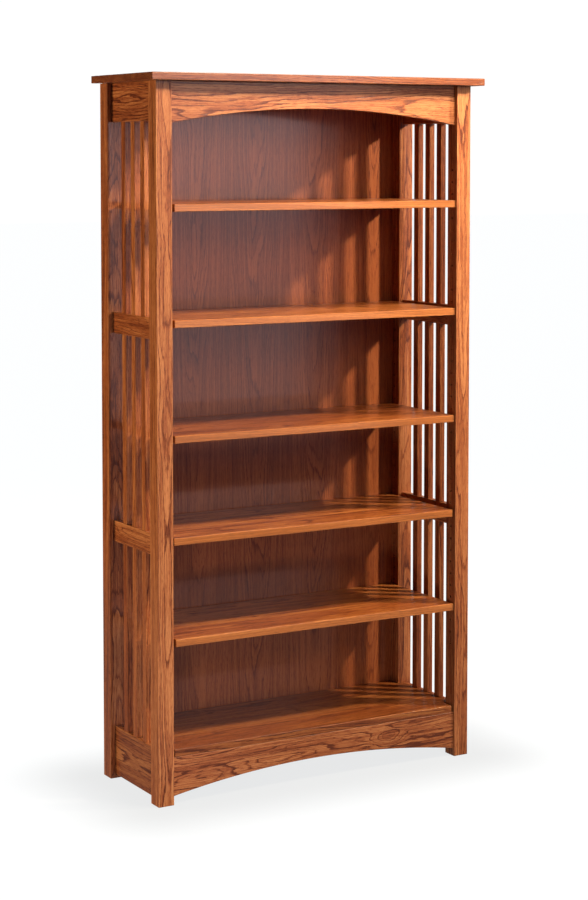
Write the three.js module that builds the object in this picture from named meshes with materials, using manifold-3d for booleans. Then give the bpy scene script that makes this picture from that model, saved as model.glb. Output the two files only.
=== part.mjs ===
// Slat-sided oak bookcase with five adjustable shelves.
//
// Frame: millimetres, +Z up, +X to the right of someone facing the open front, +Y to the back.
// The origin is on the floor, under the middle of the top board.
// Four posts stand on the floor. Four rails a side are tenoned into them, with stub-tenoned slats
// between the rails. An arched header and an arched apron tie the front posts, a thin panel sits in
// rebates at the back, and the top board covers it all. The shelves lie on pins in rows of holes.

import * as THREE from "three";
import { mergeVertices } from "three/addons/utils/BufferGeometryUtils.js";
import Module from "manifold-3d";

const wasm = await Module();
wasm.setup();

// ---------------------------------------------------------------- driving dimensions, mm

const HEIGHT = 1829; // 72 inches
const CASE_WIDTH = 934; // outer faces of the posts
const CASE_DEPTH = 324;
const SIDE_OVERHANG = 25; // of the top board, past the posts
const FRONT_OVERHANG = 30;
const STOCK = 19; // thickness of the planed boards
const POST = 43; // posts are square
const BACK_THICKNESS = 6;

const TOP_RAIL_HEIGHT = 99;
const MIDDLE_RAIL_HEIGHT = 54;
const BOTTOM_RAIL_HEIGHT = 127;
const BOTTOM_RAIL_LIFT = 12; // floor to its underside
const SLAT_THICKNESS = 16;
const SLAT_WIDTH = 22;
const SLAT_PITCH = 55;

const HEADER_SET_BACK = 12; // behind the front faces of the posts
const HEADER_END_HEIGHT = 104;
const HEADER_ARCH_RISE = 38.5;
const APRON_SET_BACK = 5;
const APRON_LIFT = 21; // floor to the apron's lower corners
const APRON_ARCH_RISE = 38;

const SHELF_SET_BACK = 5;
const SHELF_END_GAP = 5; // each end, to the posts
const SHELF_BACK_GAP = 3; // to the back panel
const LEDGE_WIDTH = 4; // rebate in the bottom rails that carries the fixed shelf

const HOLE_PITCH = 32;
const FIRST_HOLE = 306; // height of the lowest row
const HOLE_ROWS = 42;
const SHELF_ROWS = [37, 28, 19, 11, 3]; // rows that hold shelves 1 to 5, from the top down
const SHELF_SHIFTS = [4, 3.6, 3.3, 0, 4.4]; // where each lies in its play, to the right
const PIN_RADIUS = 3;
const PIN_IN_POST = 12;
const PIN_IN_SHELF = 14;
const PIN_BEVEL = 0.6;
const HOLE_ACROSS_FLATS = 6.5;
const HOLE_DEPTH = 14;
const NOTCH_LENGTH = 28; // in the shelf's underside, from its end
const NOTCH_WIDTH = 8;

const TENON_THICKNESS = 8; // of the rails, header and apron
const RAIL_TENON_LENGTH = 20;
const CROSS_TENON_LENGTH = 14; // header and apron, which stop short of the rails' mortises
const TENON_SHOULDER = 10;
const SLAT_TENON = { thickness: 6, width: 14, length: 9 };
const MORTISE_EXTRA_DEPTH = 1;
const BACK_REBATE_WIDTH = 10;

const CLEARANCE = 0.3; // between pieces that touch
const CUT = 1; // how far a cutter runs past the face that it opens

const ARCH_SEGMENTS = 24;
const HOLE_SIDES = 8;
const PIN_SIDES = 12;

// ---------------------------------------------------------------- derived places, mm

const FRONT = FRONT_OVERHANG - (CASE_DEPTH + FRONT_OVERHANG) / 2; // front faces of the posts
const BACK = FRONT + CASE_DEPTH;
const TOP_UNDERSIDE = HEIGHT - STOCK;
const FRAME_TOP = TOP_UNDERSIDE - CLEARANCE;
const POST_X = (CASE_WIDTH - POST) / 2; // post centres, and the middle of each side frame
const POST_INNER_X = CASE_WIDTH / 2 - POST;
const FRONT_POST_Y = FRONT + POST / 2;
const REAR_POST_Y = BACK - POST / 2;
const SIDE_MIDDLE_Y = (FRONT_POST_Y + REAR_POST_Y) / 2;
const RAIL_LENGTH = CASE_DEPTH - 2 * POST - 2 * CLEARANCE;
const RAIL_INNER_X = POST_X - STOCK / 2;
const FIXED_SHELF_TOP = BOTTOM_RAIL_LIFT + BOTTOM_RAIL_HEIGHT;
const FIXED_SHELF_UNDERSIDE = FIXED_SHELF_TOP - STOCK;
const BACK_PANEL_FRONT = BACK - BACK_THICKNESS;

// The rails of one side, bottom to top, with three equal slat bays between them.
const TOP_RAIL_UNDERSIDE = FRAME_TOP - TOP_RAIL_HEIGHT;
const BAY_HEIGHT = (TOP_RAIL_UNDERSIDE - FIXED_SHELF_TOP - 2 * MIDDLE_RAIL_HEIGHT) / 3;
const LOWER_RAIL_UNDERSIDE = FIXED_SHELF_TOP + BAY_HEIGHT;
const UPPER_RAIL_UNDERSIDE = LOWER_RAIL_UNDERSIDE + MIDDLE_RAIL_HEIGHT + BAY_HEIGHT;
const RAILS = [
  { name: "bottom", low: BOTTOM_RAIL_LIFT, high: FIXED_SHELF_TOP },
  { name: "lower", low: LOWER_RAIL_UNDERSIDE, high: LOWER_RAIL_UNDERSIDE + MIDDLE_RAIL_HEIGHT },
  { name: "upper", low: UPPER_RAIL_UNDERSIDE, high: UPPER_RAIL_UNDERSIDE + MIDDLE_RAIL_HEIGHT },
  { name: "top", low: TOP_RAIL_UNDERSIDE, high: FRAME_TOP },
];

const SIDES = [
  { name: "left", sign: -1 },
  { name: "right", sign: 1 },
];
const ENDS = [
  { name: "front", y: FRONT_POST_Y },
  { name: "rear", y: REAR_POST_Y },
];
const SLATS = [
  { name: "front", y: SIDE_MIDDLE_Y - SLAT_PITCH },
  { name: "middle", y: SIDE_MIDDLE_Y },
  { name: "rear", y: SIDE_MIDDLE_Y + SLAT_PITCH },
];

// The two cross pieces of the front, each a board with an arched lower edge.
const HEADER = {
  front: FRONT + HEADER_SET_BACK,
  low: FRAME_TOP - HEADER_END_HEIGHT,
  high: FRAME_TOP,
  rise: HEADER_ARCH_RISE,
};
const APRON = {
  front: FRONT + APRON_SET_BACK,
  low: APRON_LIFT,
  high: FIXED_SHELF_UNDERSIDE,
  rise: APRON_ARCH_RISE,
};

// ---------------------------------------------------------------- finishes

const FINISHES = {
  frame: { color: 0xc07a50, roughness: 0.38, metalness: 0 },
  top: { color: 0xc8805c, roughness: 0.35, metalness: 0 },
  slat: { color: 0xb06a44, roughness: 0.42, metalness: 0 },
  shelf: { color: 0xc0763f, roughness: 0.3, metalness: 0 },
  back: { color: 0x7d5045, roughness: 0.5, metalness: 0 },
  pin: { color: 0xc9a24b, roughness: 0.3, metalness: 1 },
};

// ---------------------------------------------------------------- solids

// A closed three.js geometry as a solid that can be cut and joined.
function solid(geometry) {
  geometry.deleteAttribute("normal");
  geometry.deleteAttribute("uv");
  const merged = mergeVertices(geometry);
  return new wasm.Manifold(
    new wasm.Mesh({
      numProp: 3,
      vertProperties: merged.attributes.position.array,
      triVerts: new Uint32Array(merged.index.array),
    }),
  );
}

// A solid as a three.js geometry with a flat normal on each face.
function geometryOf(body) {
  const mesh = body.getMesh();
  const geometry = new THREE.BufferGeometry();
  geometry.setAttribute("position", new THREE.BufferAttribute(mesh.vertProperties, 3));
  geometry.setIndex(new THREE.BufferAttribute(mesh.triVerts, 1));
  const faceted = geometry.toNonIndexed();
  faceted.computeVertexNormals();
  return faceted;
}

// A block between two planes on each axis, given in either order.
function block([x0, x1], [y0, y1], [z0, z1]) {
  const box = new THREE.BoxGeometry(Math.abs(x1 - x0), Math.abs(y1 - y0), Math.abs(z1 - z0));
  return solid(box.translate((x0 + x1) / 2, (y0 + y1) / 2, (z0 + z1) / 2));
}

// The two planes a given size apart, with centre halfway.
function around(centre, size) {
  return [centre - size / 2, centre + size / 2];
}

const group = new THREE.Group();

function addPiece(name, body, finish, position = [0, 0, 0]) {
  const material = new THREE.MeshStandardMaterial(FINISHES[finish]);
  const mesh = new THREE.Mesh(geometryOf(body), material);
  mesh.name = name;
  mesh.position.set(...position);
  group.add(mesh);
}

// ---------------------------------------------------------------- posts

// The heights between which the tenon on a board's end stands.
function tenonHeights({ low, high }) {
  return [low + TENON_SHOULDER, high - TENON_SHOULDER];
}

// A mortise's heights: the tenon's, with clearance.
function mortiseHeights(board) {
  const [low, high] = tenonHeights(board);
  return [low - CLEARANCE, high + CLEARANCE];
}

// A cutter for one pin hole, opening the post's inner face.
function pinHole(height, inward) {
  const radius = HOLE_ACROSS_FLATS / 2 / Math.cos(Math.PI / HOLE_SIDES);
  const hole = new THREE.CylinderGeometry(radius, radius, HOLE_DEPTH + CUT, HOLE_SIDES);
  hole.rotateY(Math.PI / HOLE_SIDES).rotateZ(Math.PI / 2);
  return solid(hole.translate((inward * (POST - HOLE_DEPTH + CUT)) / 2, 0, height));
}

// A post about its own axis, standing on z = 0. side.sign points out of the case.
function post(side, end) {
  const half = POST / 2;
  const inward = -side.sign;
  const isRear = end.name === "rear";
  const towardsMiddle = isRear ? -1 : 1;
  let body = block([-half, half], [-half, half], [0, FRAME_TOP]);

  const mortiseWidth = TENON_THICKNESS + 2 * CLEARANCE;
  const railMortise = [
    towardsMiddle * (half + CUT),
    towardsMiddle * (half - RAIL_TENON_LENGTH - MORTISE_EXTRA_DEPTH),
  ];
  for (const rail of RAILS)
    body = body.subtract(block(around(0, mortiseWidth), railMortise, mortiseHeights(rail)));

  if (isRear) {
    const rebateFront = BACK_PANEL_FRONT - end.y - CLEARANCE;
    body = body.subtract(
      block(
        [inward * (half + CUT), inward * (half - BACK_REBATE_WIDTH)],
        [rebateFront, half + CUT],
        [FIXED_SHELF_UNDERSIDE - CLEARANCE, FRAME_TOP + CUT],
      ),
    );
  } else {
    const crossMortise = [
      inward * (half + CUT),
      inward * (half - CROSS_TENON_LENGTH - MORTISE_EXTRA_DEPTH),
    ];
    for (const board of [HEADER, APRON]) {
      const middle = board.front + STOCK / 2 - end.y;
      body = body.subtract(block(crossMortise, around(middle, mortiseWidth), mortiseHeights(board)));
    }
  }

  for (let row = 0; row < HOLE_ROWS; row++)
    body = body.subtract(pinHole(FIRST_HOLE + row * HOLE_PITCH, inward));
  return body;
}

for (const side of SIDES)
  for (const end of ENDS)
    addPiece(`post_${end.name}_${side.name}`, post(side, end), "frame", [
      side.sign * POST_X,
      end.y,
      0,
    ]);

// ---------------------------------------------------------------- side rails and slats

// A side rail about the middle of its length, with its real heights. side.sign points outwards.
function sideRail(side, rail) {
  const halfLength = RAIL_LENGTH / 2;
  const tenonEnd = halfLength + CLEARANCE + RAIL_TENON_LENGTH;
  let body = block(around(0, STOCK), [-halfLength, halfLength], [rail.low, rail.high]);
  body = body.add(block(around(0, TENON_THICKNESS), [-tenonEnd, tenonEnd], tenonHeights(rail)));

  const mortiseDepth = SLAT_TENON.length + MORTISE_EXTRA_DEPTH;
  const openings = [];
  if (rail.name !== "bottom") openings.push([rail.low - CUT, rail.low + mortiseDepth]);
  if (rail.name !== "top") openings.push([rail.high + CUT, rail.high - mortiseDepth]);
  for (const heights of openings)
    for (const slat of SLATS)
      body = body.subtract(
        block(
          around(0, SLAT_TENON.thickness + 2 * CLEARANCE),
          around(slat.y - SIDE_MIDDLE_Y, SLAT_TENON.width + 2 * CLEARANCE),
          heights,
        ),
      );

  if (rail.name === "bottom") {
    const innerFace = (-side.sign * STOCK) / 2;
    body = body.subtract(
      block(
        [innerFace - side.sign * CUT, innerFace + side.sign * LEDGE_WIDTH],
        [-halfLength - CUT, halfLength + CUT],
        [FIXED_SHELF_UNDERSIDE, rail.high + CUT],
      ),
    );
  }
  return body;
}

// A slat about its own axis, between the rails below and above it.
function slatBetween(below, above) {
  const low = below.high + CLEARANCE;
  const high = above.low - CLEARANCE;
  const body = block(around(0, SLAT_THICKNESS), around(0, SLAT_WIDTH), [low, high]);
  return body.add(
    block(around(0, SLAT_TENON.thickness), around(0, SLAT_TENON.width), [
      low - SLAT_TENON.length,
      high + SLAT_TENON.length,
    ]),
  );
}

for (const side of SIDES) {
  const x = side.sign * POST_X;
  for (const rail of RAILS)
    addPiece(`rail_${rail.name}_${side.name}`, sideRail(side, rail), "frame", [
      x,
      SIDE_MIDDLE_Y,
      0,
    ]);
  RAILS.slice(1).forEach((above, bay) => {
    for (const slat of SLATS) {
      const name = `slat_${side.name}_under_${above.name}_rail_${slat.name}`;
      addPiece(name, slatBetween(RAILS[bay], above), "slat", [x, slat.y, 0]);
    }
  });
}

// ---------------------------------------------------------------- header and apron

// A cross board about its front face, with an arched lower edge and a tenon at each end.
function archedBoard(board) {
  const halfSpan = POST_INNER_X - CLEARANCE;
  const radius = (halfSpan ** 2 + board.rise ** 2) / (2 * board.rise);
  const halfAngle = Math.asin(halfSpan / radius);
  const outline = new THREE.Shape();
  outline.moveTo(halfSpan, board.high);
  outline.lineTo(-halfSpan, board.high);
  outline.lineTo(-halfSpan, board.low);
  outline.absarc(
    0,
    board.low + board.rise - radius,
    radius,
    Math.PI / 2 + halfAngle,
    Math.PI / 2 - halfAngle,
    true,
  );
  const extrusion = new THREE.ExtrudeGeometry(outline, {
    depth: STOCK,
    bevelEnabled: false,
    curveSegments: ARCH_SEGMENTS,
  });
  const tenonEnd = POST_INNER_X + CROSS_TENON_LENGTH;
  let body = solid(extrusion.rotateX(Math.PI / 2).translate(0, STOCK, 0));
  for (const side of SIDES)
    body = body.add(
      block(
        [side.sign * (halfSpan - STOCK), side.sign * tenonEnd],
        around(STOCK / 2, TENON_THICKNESS),
        tenonHeights(board),
      ),
    );
  return body;
}

addPiece("header_arched", archedBoard(HEADER), "frame", [0, HEADER.front, 0]);
addPiece("apron_arched", archedBoard(APRON), "frame", [0, APRON.front, 0]);

// ---------------------------------------------------------------- top, fixed shelf and back

const topHalfWidth = CASE_WIDTH / 2 + SIDE_OVERHANG;
addPiece(
  "top_board",
  block([-topHalfWidth, topHalfWidth], [FRONT - FRONT_OVERHANG, BACK], [TOP_UNDERSIDE, HEIGHT]),
  "top",
);

// The fixed bottom shelf is notched round the posts, and lies on the apron and the rails' ledges.
function fixedShelf() {
  const endAtPosts = POST_INNER_X - SHELF_END_GAP;
  const endAtRails = RAIL_INNER_X + LEDGE_WIDTH - CLEARANCE;
  const heights = [FIXED_SHELF_UNDERSIDE + CLEARANCE, FIXED_SHELF_TOP];
  const long = block(
    [-endAtPosts, endAtPosts],
    [FRONT + SHELF_SET_BACK, BACK_PANEL_FRONT - CLEARANCE],
    heights,
  );
  const wide = block(
    [-endAtRails, endAtRails],
    [FRONT + POST + CLEARANCE, BACK - POST - CLEARANCE],
    heights,
  );
  return long.add(wide);
}

addPiece("shelf_fixed_bottom", fixedShelf(), "shelf");

const backHalfWidth = POST_INNER_X + BACK_REBATE_WIDTH - CLEARANCE;
addPiece(
  "back_panel",
  block([-backHalfWidth, backHalfWidth], [BACK_PANEL_FRONT, BACK], [FIXED_SHELF_UNDERSIDE, FRAME_TOP]),
  "back",
);

// ---------------------------------------------------------------- adjustable shelves and pins

// A shelf about its middle, with its underside on z = 0 and a notch over each pin.
function adjustableShelf() {
  const halfLength = POST_INNER_X - SHELF_END_GAP;
  const notchDepth = 2 * PIN_RADIUS + CLEARANCE;
  const depths = [FRONT + SHELF_SET_BACK, BACK_PANEL_FRONT - SHELF_BACK_GAP];
  let body = block([-halfLength, halfLength], depths, [0, STOCK]);
  for (const side of SIDES)
    for (const end of ENDS)
      body = body.subtract(
        block(
          [side.sign * (halfLength - NOTCH_LENGTH), side.sign * (halfLength + CUT)],
          around(end.y, NOTCH_WIDTH),
          [-CUT, notchDepth],
        ),
      );
  return body;
}

// A shelf pin lying along x, with its inner end at x = 0 and its shelf end at sign * length.
function shelfPin(sign) {
  const length = PIN_IN_POST + PIN_IN_SHELF;
  const profile = [
    [0, 0],
    [PIN_RADIUS - PIN_BEVEL, 0],
    [PIN_RADIUS, PIN_BEVEL],
    [PIN_RADIUS, length - PIN_BEVEL],
    [PIN_RADIUS - PIN_BEVEL, length],
    [0, length],
  ].map(([radius, along]) => new THREE.Vector2(radius, along));
  const turned = new THREE.LatheGeometry(profile, PIN_SIDES);
  return solid(turned.rotateZ((-sign * Math.PI) / 2));
}

SHELF_ROWS.forEach((row, index) => {
  const number = index + 1;
  const pinHeight = FIRST_HOLE + row * HOLE_PITCH;
  const underside = pinHeight - PIN_RADIUS;
  addPiece(`shelf_${number}`, adjustableShelf(), "shelf", [SHELF_SHIFTS[index], 0, underside]);
  for (const side of SIDES)
    for (const end of ENDS)
      addPiece(`pin_${number}_${end.name}_${side.name}`, shelfPin(-side.sign), "pin", [
        side.sign * (POST_INNER_X + PIN_IN_POST),
        end.y,
        pinHeight,
      ]);
});

export default group;
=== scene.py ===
"""The looks of the slat-sided oak bookcase: stained red oak, eased edges, brass shelf pins, studio."""

import math
import random
from collections import namedtuple

import bpy
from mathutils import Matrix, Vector


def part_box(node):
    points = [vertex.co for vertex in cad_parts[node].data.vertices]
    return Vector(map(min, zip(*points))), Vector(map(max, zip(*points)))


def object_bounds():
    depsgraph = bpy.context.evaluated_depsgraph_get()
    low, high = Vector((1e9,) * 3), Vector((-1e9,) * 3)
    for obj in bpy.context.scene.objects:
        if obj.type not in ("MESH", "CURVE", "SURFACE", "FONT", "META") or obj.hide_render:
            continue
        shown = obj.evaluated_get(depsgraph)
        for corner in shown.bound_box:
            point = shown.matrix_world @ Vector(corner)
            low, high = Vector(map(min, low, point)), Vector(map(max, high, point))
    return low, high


MM = 0.001
AXES = "XYZ"
RANDOM_SEED = 7

# Colours, as linear light
WHITE = (1.0, 1.0, 1.0)
Stain = namedtuple("Stain", "dark middle light")
OAK = Stain((0.112, 0.0230, 0.0080), (0.310, 0.076, 0.0210), (0.545, 0.196, 0.0640))
BACK_OAK = Stain((0.165, 0.034, 0.0120), (0.285, 0.067, 0.0185), (0.420, 0.114, 0.0320))
BRASS_DARK = (0.42, 0.26, 0.09)
BRASS_LIGHT = (0.80, 0.58, 0.24)
FLOOR_PALE = (0.04, 0.04, 0.04)
FLOOR_GLOW = (0.985, 0.995, 1.0)

# A kind of board. axes: that of its grain, that across its face, and that its face looks along.
# eased: the axes of the edges that are eased, and ease: by how much. leaf: how wide its staves or
# veneer leaves are. aside and behind: the least and the most that the pith lies across the face
# and behind it. ring: how wide a year's ring is. stray: how far the rings stray. line: how dark
# the start of each ring is. polish: how much of the lacquer's shine it has. tint: multiplies the
# stain. Then how much painted light makes its front faces paler. Lengths are in mm
Kind = namedtuple(
    "Kind",
    "axes eased ease leaf aside behind ring stray line polish tint strip stain",
    defaults=(WHITE, 0.0, OAK),
)
ONE_BOARD = 10000.0
KINDS = {
    "post": Kind(
        axes="ZXY", eased="XYZ", ease=1.4, leaf=ONE_BOARD, polish=0.15,
        aside=(-10.0, 35.0), behind=(45.0, 65.0), ring=3.5, stray=26.0, line=0.50,
    ),
    "rail": Kind(
        axes="YZX", eased="Y", ease=1.2, leaf=ONE_BOARD, polish=0.2,
        aside=(-5.0, 30.0), behind=(50.0, 75.0), ring=4.2, stray=38.0, line=0.54,
    ),
    "slat": Kind(
        axes="ZYX", eased="Z", ease=1.0, leaf=ONE_BOARD, polish=0.2, tint=(0.90, 0.83, 0.76),
        aside=(20.0, 50.0), behind=(45.0, 70.0), ring=3.8, stray=20.0, line=0.45,
    ),
    "header": Kind(
        axes="XZY", eased="X", ease=1.2, leaf=ONE_BOARD, polish=0.25,
        aside=(-14.0, 6.0), behind=(50.0, 65.0), ring=5.0, stray=36.0, line=0.54,
    ),
    "apron": Kind(
        axes="XZY", eased="X", ease=1.2, leaf=ONE_BOARD, polish=0.25,
        aside=(-10.0, 10.0), behind=(50.0, 65.0), ring=5.2, stray=58.0, line=0.52,
    ),
    "top": Kind(
        axes="XYZ", eased="XYZ", ease=1.6, leaf=118.0, polish=0.5,
        aside=(-20.0, 20.0), behind=(60.0, 90.0), ring=4.8, stray=30.0, line=0.55,
    ),
    "shelf": Kind(
        axes="XYZ", eased="XYZ", ease=1.3, leaf=105.0, polish=0.5, tint=(1.0, 0.90, 0.60), strip=0.45,
        aside=(-25.0, 25.0), behind=(60.0, 90.0), ring=4.6, stray=30.0, line=0.50,
    ),
    "back": Kind(
        axes="ZXY", eased="", ease=0.0, leaf=186.0, polish=0.6, stain=BACK_OAK,
        aside=(-12.0, 12.0), behind=(60.0, 80.0), ring=2.3, stray=17.0, line=0.42,
    ),
}
KINDS["post_rear"] = KINDS["post"]._replace(polish=0.38)
KINDS["shelf_fixed"] = KINDS["shelf"]._replace(strip=0.0)
# Painted shade: boards near the floor made darker than the rest of their kind
PAINTED_LOW_SHADE = {"shelf_fixed_bottom": 0.74, "rail_bottom_left": 0.80}
# Where a board has a knot: how far along and across it from its middle, and its half length, in mm
KNOTS = {"apron_arched": (215.0, 8.0, 80.0)}
NO_KNOT = (ONE_BOARD, ONE_BOARD, 1.0)
# How many mm the rings bulge there, and how wide a knot is for its length
KNOT_BULGE = 26.0
KNOT_SLIMNESS = 0.36
# How far the pith drifts from the board's length: the least, and how much more by chance
SLOPE_LEAST = 0.012
SLOPE_MORE = 0.020
# How square to an axis a face has to be, to count as looking along it
FACING = (0.6, 0.9)

# The noises that shape the wood. Sizes are in mm: along the grain, and twice across it
Noise = namedtuple("Noise", "size detail roughness", defaults=(2.0, 0.5))
SWELL = Noise((380.0, 60.0, 60.0), detail=1.0)
WANDER = Noise((150.0, 20.0, 20.0))
RAGGED = Noise((26.0, 1.4, 1.4))
PORES = Noise((20.0, 1.2, 1.2), roughness=0.6)
STREAKS = Noise((170.0, 2.6, 2.6), detail=4.0, roughness=0.75)
BANDS = Noise((320.0, 17.0, 17.0))
# How much of the rings' stray is wander, and how far in mm their lines are ragged
WANDER_SHARE = 0.28
RAGGED_REACH = 1.5
# Where in its noise a pore starts to open, and where it is open
PORE_EDGE = (0.51, 0.60)

# Each leaf draws its values at numbers of its own: steps per leaf and per board, and a start
CUT_DRAW = (7.31, 1.0, 0.0)
TURN_DRAW = (3.17, 1.7, 41.0)
TONE_DRAW = (1.93, 1.0, 11.0)
YEAR_TONE_START = 0.43
SEED_START = 1.0
SEED_STEP = 0.37
# How far along the log each board and each leaf is taken from the one before, in mm
BOARD_STEP = 977.0
LEAF_STEP = 4100.0
# The least and the most that a leaf's own pith is moved, as shares of the board's
PITH_ASIDE = (0.55, 1.45)
PITH_BEHIND = (0.7, 1.3)

# The dark line of a ring, as shares of the ring: where it is darkest, and where it has faded, from
# the narrowest line to the widest. Then how dark it is, from the palest year to the darkest
LINE_RISE = 0.06
LINE_FADE = (0.20, 0.50)
LINE_DEPTH = (0.35, 1.25)
# How open the pores are in the late wood, where they are fully open in the early wood
LATE_PORES = 0.45

# How light unmarked wood is, and what each feature adds. Then where that turns from the stain's
# dark to its middle colour, and from that to the light one
SHADE_START = 0.66
SHADE_SHARES = {"pores": -0.60, "streak": 1.60, "band": 0.80, "year": 0.30, "leaf": 0.26}
DARK_TO_MIDDLE = (0.05, 0.52)
MIDDLE_TO_LIGHT = (0.42, 0.95)
# Arrises are rubbed lighter: where that starts and is full, in mm from the arris, how pale it is
# beside the light stain, and how much of it shows. Dark streaks are rubbed least
WORN_REACH = (3.2, 0.6)
WORN_BRIGHTER = (1.15, 1.15, 1.15)
WORN_SHARE = 0.30
WORN_STREAKS = (-0.12, 0.10)
WORN_LEAST = 0.25
# Seams between leaves are dark: where that starts and is full, in mm from the seam, and how much
SEAM_REACH = (0.7, 0.1)
SEAM_SHARE = 0.45
# How much darker end grain is
END_SHARE = 0.55
# How rough the wood is, how high it stands, and what each feature adds
ROUGH_START = 0.38
ROUGH_SHARES = {"pores": 0.20, "streak": 0.25, "worn": 0.06}
HEIGHT_SHARES = {"pores": -0.8, "early": -0.25, "streak": 0.4, "seam": -0.4}
GRAIN_BUMP = {"Strength": 0.45, "Distance": 0.35 * MM}

# The lacquer: rougher where there is less of it
SPECULAR = 0.22
COAT_IOR = 1.5
COAT_ROUGHEST = 0.19
COAT_SMOOTHER = 0.12

# The shelf pins' mottle and turning marks, in metres. Then where in the mottle the dark brass ends
# and the light brass starts, and where in it the roughness starts and ends, and from what to what
MOTTLE = Noise((1.6 * MM,) * 3, detail=3.0)
TURNED = Noise((0.25 * MM, 4 * MM, 4 * MM), detail=1.0)
MOTTLE_EDGE = (0.35, 0.65)
BRASS_ROUGHNESS = (0.3, 0.7, 0.42, 0.24)
BRASS_BUMP = {"Strength": 0.3, "Distance": 0.03 * MM}

# Which edges are eased: straight along an axis, sharp, and long enough not to be a hole's. Then how
# the bevel and the clean-up before it are set
STRAIGHT = 0.88
SHARP = math.radians(50)
LONG = 14 * MM
EASE_SEGMENTS = 3
WELD = 0.01 * MM
FLAT = math.radians(0.5)

# Lamps. Places are in metres from the middle of the case's foot. matt: whether it lights what is
# matt, shine: whether its mirror image shows. The key lamp throws the slats' streaks, the steep one
# lights the fronts of the shelves, and the sheens lie on the back panel's lacquer
Lamp = namedtuple("Lamp", "name place aim size power colour matt shine", defaults=(WHITE, True, True))
SHEEN = (1.0, 0.78, 0.80)
LAMPS = [
    Lamp(
        "key", place=(2.2, -1.37, 2.68), aim=(0.0, 0.0, 1.0), size=(0.16, 0.16), power=120.0,
        colour=(1.0, 0.88, 0.68),
    ),
    Lamp(
        "front", place=(0.9, -3.4, 2.3), aim=(0.0, 0.0, 1.2), size=(1.5, 1.2), power=26.0,
        colour=(0.98, 1.04, 1.16), shine=False,
    ),
    Lamp(
        "near", place=(1.2, -2.2, 2.3), aim=(0.0, 0.0, 1.4), size=(0.8, 0.6), power=10.0,
        shine=False,
    ),
    Lamp(
        "steep", place=(0.5, -1.2, 2.75), aim=(0.0, 0.0, 1.2), size=(0.5, 0.4), power=49.0,
        colour=(1.0, 0.90, 0.72),
    ),
    Lamp(
        "low", place=(-1.0, -1.1, 0.12), aim=(-0.445, -0.15, 0.25), size=(0.4, 0.12), power=6.5,
        colour=(1.0, 1.0, 1.10), shine=False,
    ),
    Lamp(
        "sheen_high", place=(2.1, -4.4, 1.85), aim=(0.0, 0.0, 1.2), size=(1.3, 0.9), power=16.5,
        colour=SHEEN, matt=False,
    ),
    Lamp(
        "sheen_middle", place=(2.1, -4.4, 0.85), aim=(0.0, 0.0, 1.2), size=(1.3, 1.2), power=12.5,
        colour=SHEEN, matt=False,
    ),
    Lamp(
        "left", place=(-2.6, 1.7, 1.3), aim=(-0.4, 0.0, 0.9), size=(1.2, 1.4), power=84.0,
        colour=(1.0, 0.82, 0.52), shine=False,
    ),
    Lamp("rear", place=(1.6, 3.6, 2.6), aim=(0.0, 0.0, 0.9), size=(2.0, 2.0), power=45.0),
]
# How much light the room gives. The camera sees it as white
ROOM_GLOW = 0.02

# The floor, in metres. Its glow has painted shade towards the case, darkest from just inside the case's
# outline. Its mirror image fades out further off
FLOOR_REACH = 40.0
SHADE_INSIDE = 0.02
SHADE_WIDTH = 0.32
SHADE_DARKEST = 0.80
MIRROR_FADE = (1.5, 3.0)
MIRROR_GLOW = 0.18

# The camera: its place in metres from the middle of the case's foot, how far down and how far
# round it looks, in degrees, its lens, and how far off it sees, in metres
EYE = (-2.7274, -4.7280, 1.6333)
LOOK_DOWN = 3.65
LOOK_ROUND = -30.05
SENSOR_MM = 36.0
LENS_MM = 83.18
SHIFT = -0.1833
SEES_TO = 200.0


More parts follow.
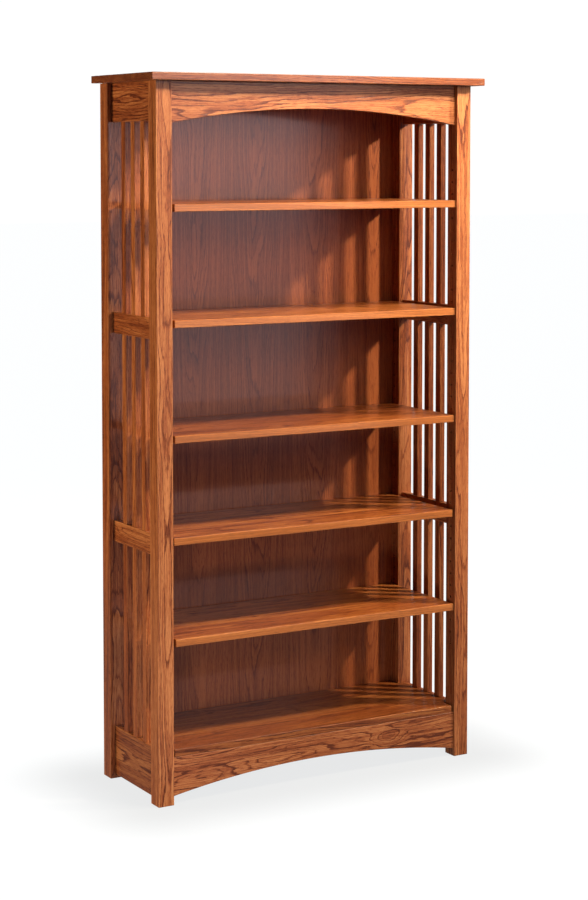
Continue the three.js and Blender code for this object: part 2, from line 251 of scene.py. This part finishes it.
class Graph:
    """Adds nodes to a tree. An input is a number, a tuple of numbers or another node's output."""

    def __init__(self, tree):
        self.tree = tree

    def add(self, kind, inputs=(), **settings):
        node = self.tree.nodes.new(kind)
        for name, value in settings.items():
            setattr(node, name, value)
        for name, value in dict(inputs).items():
            if isinstance(value, bpy.types.NodeSocket):
                self.tree.links.new(value, node.inputs[name])
            else:
                node.inputs[name].default_value = value
        return node

    def math(self, operation, *values):
        return self.add("ShaderNodeMath", enumerate(values), operation=operation).outputs[0]

    def total(self, *values):
        summed = values[0]
        for value in values[1:]:
            summed = self.math("ADD", summed, value)
        return summed

    def product(self, *values):
        made = values[0]
        for value in values[1:]:
            made = self.math("MULTIPLY", made, value)
        return made

    def weighed(self, start, shares, features):
        """The start, plus each feature times its share."""
        return self.total(start, *(self.product(features[name], share) for name, share in shares.items()))

    def between(self, chance, least, most):
        return self.total(self.product(chance, most - least), least)

    def distance(self, one, other):
        """From the origin to the point whose two coordinates are given."""
        return self.math("SQRT", self.total(self.product(one, one), self.product(other, other)))

    def from_edge(self, half, value):
        return self.math("SUBTRACT", half, self.math("ABSOLUTE", value))

    def vectors(self, operation, *values):
        return self.add("ShaderNodeVectorMath", enumerate(values), operation=operation).outputs

    def parts(self, vector):
        return self.add("ShaderNodeSeparateXYZ", {0: vector}).outputs

    def vector(self, x, y, z):
        return self.add("ShaderNodeCombineXYZ", {0: x, 1: y, 2: z}).outputs[0]

    def ramp(self, value, low, high, to_low=0.0, to_high=1.0):
        inputs = {0: value, 1: low, 2: high, 3: to_low, 4: to_high}
        node = self.add("ShaderNodeMapRange", inputs, interpolation_type="SMOOTHSTEP")
        return node.outputs[0]

    def noise(self, point, noise):
        """Noise from about 0.3 to 0.7."""
        scaled = self.vectors("DIVIDE", point, noise.size)[0]
        inputs = {"Vector": scaled, "Scale": 1.0, "Detail": noise.detail, "Roughness": noise.roughness}
        return self.add("ShaderNodeTexNoise", inputs).outputs[0]

    def centred(self, value):
        return self.math("SUBTRACT", value, 0.5)

    def random(self, value):
        """From 0 to 1, and always the same for the same value."""
        return self.add("ShaderNodeTexWhiteNoise", {"W": value}, noise_dimensions="1D").outputs[0]

    def mix(self, factor, first, second, blend="MIX"):
        inputs = {0: factor, 6: first, 7: second}
        return self.add("ShaderNodeMix", inputs, data_type="RGBA", blend_type=blend).outputs[2]


def graph_of(block):
    """The graph of a material or a world, emptied."""
    block.use_nodes = True
    block.node_tree.nodes.clear()
    return Graph(block.node_tree)


def rgba(colour):
    return (*colour, 1.0)


OAK_INPUTS = [
    ("Board", "NodeSocketVector"),
    ("Half", "NodeSocketVector"),
    ("Pith", "NodeSocketVector"),
    ("Slope", "NodeSocketFloat"),
    ("Stray", "NodeSocketFloat"),
    ("Ring", "NodeSocketFloat"),
    ("Line", "NodeSocketFloat"),
    ("Knot", "NodeSocketVector"),
    ("Seed", "NodeSocketFloat"),
    ("Leaf", "NodeSocketFloat"),
    ("End", "NodeSocketFloat"),
    ("Painted_light", "NodeSocketFloat"),
    ("Dark", "NodeSocketColor"),
    ("Middle", "NodeSocketColor"),
    ("Light", "NodeSocketColor"),
]
OAK_OUTPUTS = [
    ("Colour", "NodeSocketColor"),
    ("Roughness", "NodeSocketFloat"),
    ("Height", "NodeSocketFloat"),
]


def oak_group():
    """Red oak as a solid: growth rings about a pith, pores along the grain, stain in both.
    Board is the point in the board in mm: along the grain, across the face, and out of it."""
    tree = bpy.data.node_groups.new("red_oak", "ShaderNodeTree")
    for name, kind in OAK_INPUTS:
        tree.interface.new_socket(name, in_out="INPUT", socket_type=kind)
    for name, kind in OAK_OUTPUTS:
        tree.interface.new_socket(name, in_out="OUTPUT", socket_type=kind)
    g = Graph(tree)
    given = g.add("NodeGroupInput").outputs
    seed = given["Seed"]
    along, across, out = g.parts(given["Board"])[:3]
    half_across, half_out = g.parts(given["Half"])[1:3]

    # Staves or leaves: each has its own place in the log and its own tone
    leaf = g.math("ROUND", g.math("DIVIDE", across, given["Leaf"]))
    in_leaf = g.math("SUBTRACT", across, g.product(leaf, given["Leaf"]))

    def draw(leaf_step, seed_step, start):
        return g.random(g.total(g.product(leaf, leaf_step), g.product(seed, seed_step), start))

    cut = draw(*CUT_DRAW)
    pith = g.parts(given["Pith"])
    x = g.total(along, g.product(seed, BOARD_STEP), g.product(cut, LEAF_STEP))
    y = g.math("SUBTRACT", in_leaf, g.product(pith[1], g.between(draw(*TURN_DRAW), *PITH_ASIDE)))
    z = g.total(out, g.product(pith[2], g.between(cut, *PITH_BEHIND)))
    point = g.vector(x, y, z)

    # Growth rings, which bulge round a knot and stray
    knot = g.parts(given["Knot"])
    knot_x = g.math("DIVIDE", g.math("SUBTRACT", along, knot[0]), knot[2])
    knot_y = g.math("DIVIDE", g.math("SUBTRACT", across, knot[1]), g.product(knot[2], KNOT_SLIMNESS))
    radius = g.total(
        g.distance(y, z),
        g.ramp(g.distance(knot_x, knot_y), 0.0, 1.0, KNOT_BULGE, 0.0),
        g.product(x, given["Slope"]),
        g.product(g.centred(g.noise(point, SWELL)), given["Stray"]),
        g.product(g.centred(g.noise(point, WANDER)), g.product(given["Stray"], WANDER_SHARE)),
        g.product(g.centred(g.noise(point, RAGGED)), RAGGED_REACH),
    )
    count = g.math("DIVIDE", radius, given["Ring"])
    ring = g.math("FRACT", count)
    whole = g.math("FLOOR", count)

    # A dark line of pores begins each ring, and each year has its own depth of line and tone
    year = g.random(g.total(whole, seed))
    rise = g.ramp(ring, 0.0, LINE_RISE)
    fall = g.ramp(ring, LINE_RISE, g.between(year, *LINE_FADE), 1.0, 0.0)
    early = g.product(rise, fall, g.between(year, *LINE_DEPTH))
    features = {
        "early": early,
        "pores": g.product(g.ramp(g.noise(point, PORES), *PORE_EDGE), g.between(early, LATE_PORES, 1.0)),
        "streak": g.centred(g.noise(point, STREAKS)),
        "band": g.centred(g.noise(point, BANDS)),
        "year": g.centred(g.random(g.total(whole, seed, YEAR_TONE_START))),
        "leaf": g.centred(draw(*TONE_DRAW)),
    }

    # The stain takes by how light the wood is
    unmarked = g.math("SUBTRACT", SHADE_START, g.product(early, given["Line"]))
    shade = g.weighed(unmarked, SHADE_SHARES, features)
    colour = g.mix(g.ramp(shade, *DARK_TO_MIDDLE), given["Dark"], given["Middle"])
    colour = g.mix(g.ramp(shade, *MIDDLE_TO_LIGHT), colour, given["Light"])

    # Painted light makes the front faces paler; arrises rubbed lighter, open seams darker, end grain
    # darker
    off_edge = g.distance(g.from_edge(half_across, across), g.from_edge(half_out, out))
    rubbed = g.ramp(features["streak"], *WORN_STREAKS, WORN_LEAST, 1.0)
    features["worn"] = g.product(g.ramp(off_edge, *WORN_REACH), rubbed)
    features["seam"] = g.ramp(g.from_edge(g.product(given["Leaf"], 0.5), in_leaf), *SEAM_REACH)
    bare = g.mix(1.0, given["Light"], rgba(WORN_BRIGHTER), "MULTIPLY")
    colour = g.mix(given["Painted_light"], colour, given["Light"])
    colour = g.mix(g.product(features["worn"], WORN_SHARE), colour, bare)
    colour = g.mix(g.product(features["seam"], SEAM_SHARE), colour, given["Dark"])
    colour = g.mix(g.product(given["End"], END_SHARE), colour, given["Dark"])

    outputs = {
        "Colour": colour,
        "Roughness": g.weighed(ROUGH_START, ROUGH_SHARES, features),
        "Height": g.weighed(0.0, HEIGHT_SHARES, features),
    }
    g.add("NodeGroupOutput", outputs)
    return tree


def oak(group, node, kind, seed):
    """The material of one board, with its own place in the log."""
    chances = [random.random() for _ in range(3)]
    aside = kind.aside[0] + (kind.aside[1] - kind.aside[0]) * chances[0]
    behind = kind.behind[0] + (kind.behind[1] - kind.behind[0]) * chances[1]
    slope = (SLOPE_LEAST + SLOPE_MORE * chances[2]) * (1 if chances[2] > 0.5 else -1)
    # The kind's tint, with painted shade on the boards near the floor
    tint = [PAINTED_LOW_SHADE.get(node, 1.0) * share for share in kind.tint]
    dark, middle, light = ([part * share for part, share in zip(colour, tint)] for colour in kind.stain)

    material = bpy.data.materials.new("oak_" + node)
    g = graph_of(material)
    low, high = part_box(node)
    centre, half = (low + high) / 2, (high - low) / 2
    picked = [AXES.index(axis) for axis in kind.axes]
    place = g.add("ShaderNodeTexCoord").outputs["Object"]
    from_centre = g.vectors("SUBTRACT", place, tuple(centre))[0]
    scaled = g.add("ShaderNodeVectorMath", {0: from_centre, "Scale": 1 / MM}, operation="SCALE").outputs[0]
    parts = g.parts(scaled)
    normal = g.parts(g.add("ShaderNodeNewGeometry").outputs["True Normal"])
    inputs = {
        "Board": g.vector(*(parts[i] for i in picked)),
        "Half": tuple(half[i] / MM for i in picked),
        "Pith": (0.0, aside, behind),
        "Slope": slope,
        "Stray": kind.stray,
        "Ring": kind.ring,
        "Line": kind.line,
        "Knot": KNOTS.get(node, NO_KNOT),
        "Seed": seed,
        "Leaf": kind.leaf,
        "End": g.ramp(g.math("ABSOLUTE", normal[picked[0]]), *FACING),
        # Painted light: faces that look to the front are made paler
        "Painted_light": g.ramp(g.product(normal[AXES.index("Y")], -1.0), *FACING, 0.0, kind.strip),
        "Dark": rgba(dark),
        "Middle": rgba(middle),
        "Light": rgba(light),
    }
    wood = g.add("ShaderNodeGroup", inputs, node_tree=group).outputs
    bump = g.add("ShaderNodeBump", {**GRAIN_BUMP, "Height": wood["Height"]})
    shader = g.add(
        "ShaderNodeBsdfPrincipled",
        {
            "Base Color": wood["Colour"],
            "Roughness": wood["Roughness"],
            "Normal": bump.outputs[0],
            "Specular IOR Level": SPECULAR,
            "Coat Weight": kind.polish,
            "Coat Roughness": COAT_ROUGHEST - COAT_SMOOTHER * kind.polish,
            "Coat IOR": COAT_IOR,
        },
    )
    g.add("ShaderNodeOutputMaterial", {"Surface": shader.outputs[0]})
    return material


def brass():
    """Turned brass, a little dulled."""
    material = bpy.data.materials.new("pin_brass")
    g = graph_of(material)
    place = g.add("ShaderNodeTexCoord").outputs["Object"]
    mottle = g.noise(place, MOTTLE)
    bump = g.add("ShaderNodeBump", {**BRASS_BUMP, "Height": g.noise(place, TURNED)})
    shader = g.add(
        "ShaderNodeBsdfPrincipled",
        {
            "Base Color": g.mix(g.ramp(mottle, *MOTTLE_EDGE), rgba(BRASS_DARK), rgba(BRASS_LIGHT)),
            "Metallic": 1.0,
            "Roughness": g.ramp(mottle, *BRASS_ROUGHNESS),
            "Normal": bump.outputs[0],
        },
    )
    g.add("ShaderNodeOutputMaterial", {"Surface": shader.outputs[0]})
    return material


def mark_arrises(axes):
    """Geometry nodes that mark the long sharp edges lying along these axes, for the bevel."""
    tree = bpy.data.node_groups.new("mark_arrises_" + axes, "GeometryNodeTree")
    for way in ("INPUT", "OUTPUT"):
        tree.interface.new_socket("Geometry", in_out=way, socket_type="NodeSocketGeometry")
    g = Graph(tree)
    given = g.add("NodeGroupInput").outputs[0]
    angle = g.add("GeometryNodeInputMeshEdgeAngle").outputs["Unsigned Angle"]
    ends = g.add("GeometryNodeInputMeshEdgeVertices").outputs
    run = g.vectors("SUBTRACT", ends["Position 1"], ends["Position 2"])[0]
    length = g.vectors("LENGTH", run)["Value"]
    reach = [g.math("ABSOLUTE", part) for part in g.parts(run)[:3]]
    along = 0.0
    for axis in axes:
        along = g.math("MAXIMUM", along, reach[AXES.index(axis)])
    straight = g.math("GREATER_THAN", g.math("DIVIDE", along, length), STRAIGHT)
    sharp = g.math("GREATER_THAN", angle, SHARP)
    long = g.math("GREATER_THAN", length, LONG)
    inputs = {"Geometry": given, "Name": "bevel_weight_edge", "Value": g.product(straight, sharp, long)}
    store = g.add("GeometryNodeStoreNamedAttribute", inputs, data_type="FLOAT", domain="EDGE")
    g.add("NodeGroupOutput", {0: store.outputs[0]})
    return tree


def ease(piece, kind, marks):
    """Rounds a board's long arrises."""
    piece.modifiers.new("weld", "WELD").merge_threshold = WELD
    flat = piece.modifiers.new("flat", "DECIMATE")
    flat.decimate_type = "DISSOLVE"
    flat.angle_limit = FLAT
    if kind.eased:
        if kind.eased not in marks:
            marks[kind.eased] = mark_arrises(kind.eased)
        piece.modifiers.new("arrises", "NODES").node_group = marks[kind.eased]
        bevel = piece.modifiers.new("ease", "BEVEL")
        bevel.limit_method = "WEIGHT"
        bevel.width = kind.ease * MM
        bevel.segments = EASE_SEGMENTS
        bevel.use_clamp_overlap = True
    smooth = piece.modifiers.new("shade", "WEIGHTED_NORMAL")
    smooth.keep_sharp = True


def kind_of(node):
    """The kind that the node's name starts with, or the longest if it starts with two."""
    return KINDS[max((name for name in KINDS if node.startswith(name)), key=len)]


def dress():
    """Gives every CAD node its material and its eased edges."""
    group, metal, marks = oak_group(), brass(), {}
    for index, (node, piece) in enumerate(sorted(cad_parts.items())):
        if node.startswith("pin"):
            material = metal
        else:
            kind = kind_of(node)
            material = oak(group, node, kind, SEED_START + index * SEED_STEP)
            ease(piece, kind, marks)
        for place in piece.material_slots:
            place.link = "OBJECT"
            place.material = material


def foot_of(low, high):
    """The middle of the underside of the box."""
    middle = (low + high) / 2
    return Vector((middle.x, middle.y, low.z))


def room():
    """A dim white room, which the camera sees as bright."""
    world = bpy.data.worlds.new("studio")
    g = graph_of(world)
    path = g.add("ShaderNodeLightPath").outputs
    strength = g.total(path["Is Camera Ray"], ROOM_GLOW)
    shade = g.add("ShaderNodeBackground", {"Color": rgba(WHITE), "Strength": strength})
    g.add("ShaderNodeOutputWorld", {0: shade.outputs[0]})
    bpy.context.scene.world = world


def hang(lamp, foot):
    """Hangs one lamp, from the middle of the case's foot."""
    light = bpy.data.lights.new(lamp.name, "AREA")
    light.shape = "RECTANGLE"
    light.size, light.size_y = lamp.size
    light.energy = lamp.power
    light.color = lamp.colour
    hung = bpy.data.objects.new(lamp.name, light)
    hung.location = foot + Vector(lamp.place)
    toward = foot + Vector(lamp.aim) - hung.location
    hung.rotation_euler = toward.to_track_quat("-Z", "Y").to_euler()
    hung.visible_camera = False
    hung.visible_diffuse = lamp.matt
    hung.visible_glossy = lamp.shine
    bpy.context.scene.collection.objects.link(hung)


def floor_material(low, high):
    """A pale floor with painted shade towards the case, which shows only faintly in what is polished."""
    material = bpy.data.materials.new("floor_pale")
    g = graph_of(material)
    middle = (low + high) / 2
    matt = g.add("ShaderNodeBsdfDiffuse", {"Color": rgba(FLOOR_PALE)})
    place = g.parts(g.add("ShaderNodeTexCoord").outputs["Object"])
    beyond = []
    for axis in range(2):
        off = g.math("ABSOLUTE", g.math("SUBTRACT", place[axis], middle[axis]))
        side = high[axis] - middle[axis] - SHADE_INSIDE
        beyond.append(g.math("MAXIMUM", g.math("SUBTRACT", off, side), 0.0))
    away = g.distance(*beyond)
    # Painted shade: the floor's glow is dimmed near the case
    glow_with_painted_shade = g.ramp(away, 0.0, SHADE_WIDTH, SHADE_DARKEST, 1.0)
    mirrored = g.ramp(away, *MIRROR_FADE, MIRROR_GLOW, 0.0)
    strength = g.mix(g.add("ShaderNodeLightPath").outputs["Is Glossy Ray"], glow_with_painted_shade, mirrored)
    glow = g.add("ShaderNodeEmission", {"Color": rgba(FLOOR_GLOW), "Strength": strength})
    both = g.add("ShaderNodeAddShader", {0: matt.outputs[0], 1: glow.outputs[0]})
    g.add("ShaderNodeOutputMaterial", {"Surface": both.outputs[0]})
    return material


def lay_floor(low, high):
    mesh = bpy.data.meshes.new("floor")
    corners = [(-1, -1), (1, -1), (1, 1), (-1, 1)]
    mesh.from_pydata([(x * FLOOR_REACH, y * FLOOR_REACH, low.z) for x, y in corners], [], [(0, 1, 2, 3)])
    mesh.materials.append(floor_material(low, high))
    floor = bpy.data.objects.new("floor", mesh)
    floor.visible_diffuse = False
    bpy.context.scene.collection.objects.link(floor)


def studio(low, high):
    """A key light high on the right, soft fills, sheens for the lacquer, and a pale floor."""
    bpy.context.scene.view_settings.view_transform = "Standard"
    room()
    for lamp in LAMPS:
        hang(lamp, foot_of(low, high))
    lay_floor(low, high)


def camera(low, high):
    """Looks from the front left of the case, a little below its top."""
    lens = bpy.data.cameras.new("camera")
    lens.sensor_width = SENSOR_MM
    lens.lens = LENS_MM
    lens.shift_y = SHIFT
    lens.clip_end = SEES_TO
    eye = bpy.data.objects.new("camera", lens)
    eye.location = foot_of(low, high) + Vector(EYE)
    eye.rotation_euler = (math.radians(90 - LOOK_DOWN), 0.0, math.radians(LOOK_ROUND))
    bpy.context.scene.collection.objects.link(eye)
    bpy.context.scene.camera = eye


random.seed(RANDOM_SEED)
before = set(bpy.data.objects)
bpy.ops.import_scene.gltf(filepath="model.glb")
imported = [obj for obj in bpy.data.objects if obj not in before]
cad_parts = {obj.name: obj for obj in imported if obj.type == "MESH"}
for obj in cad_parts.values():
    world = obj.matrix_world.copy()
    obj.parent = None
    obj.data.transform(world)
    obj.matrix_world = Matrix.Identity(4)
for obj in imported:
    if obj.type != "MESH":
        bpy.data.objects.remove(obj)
cad_low, cad_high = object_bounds()
camera(cad_low, cad_high)
studio(cad_low, cad_high)
dress()
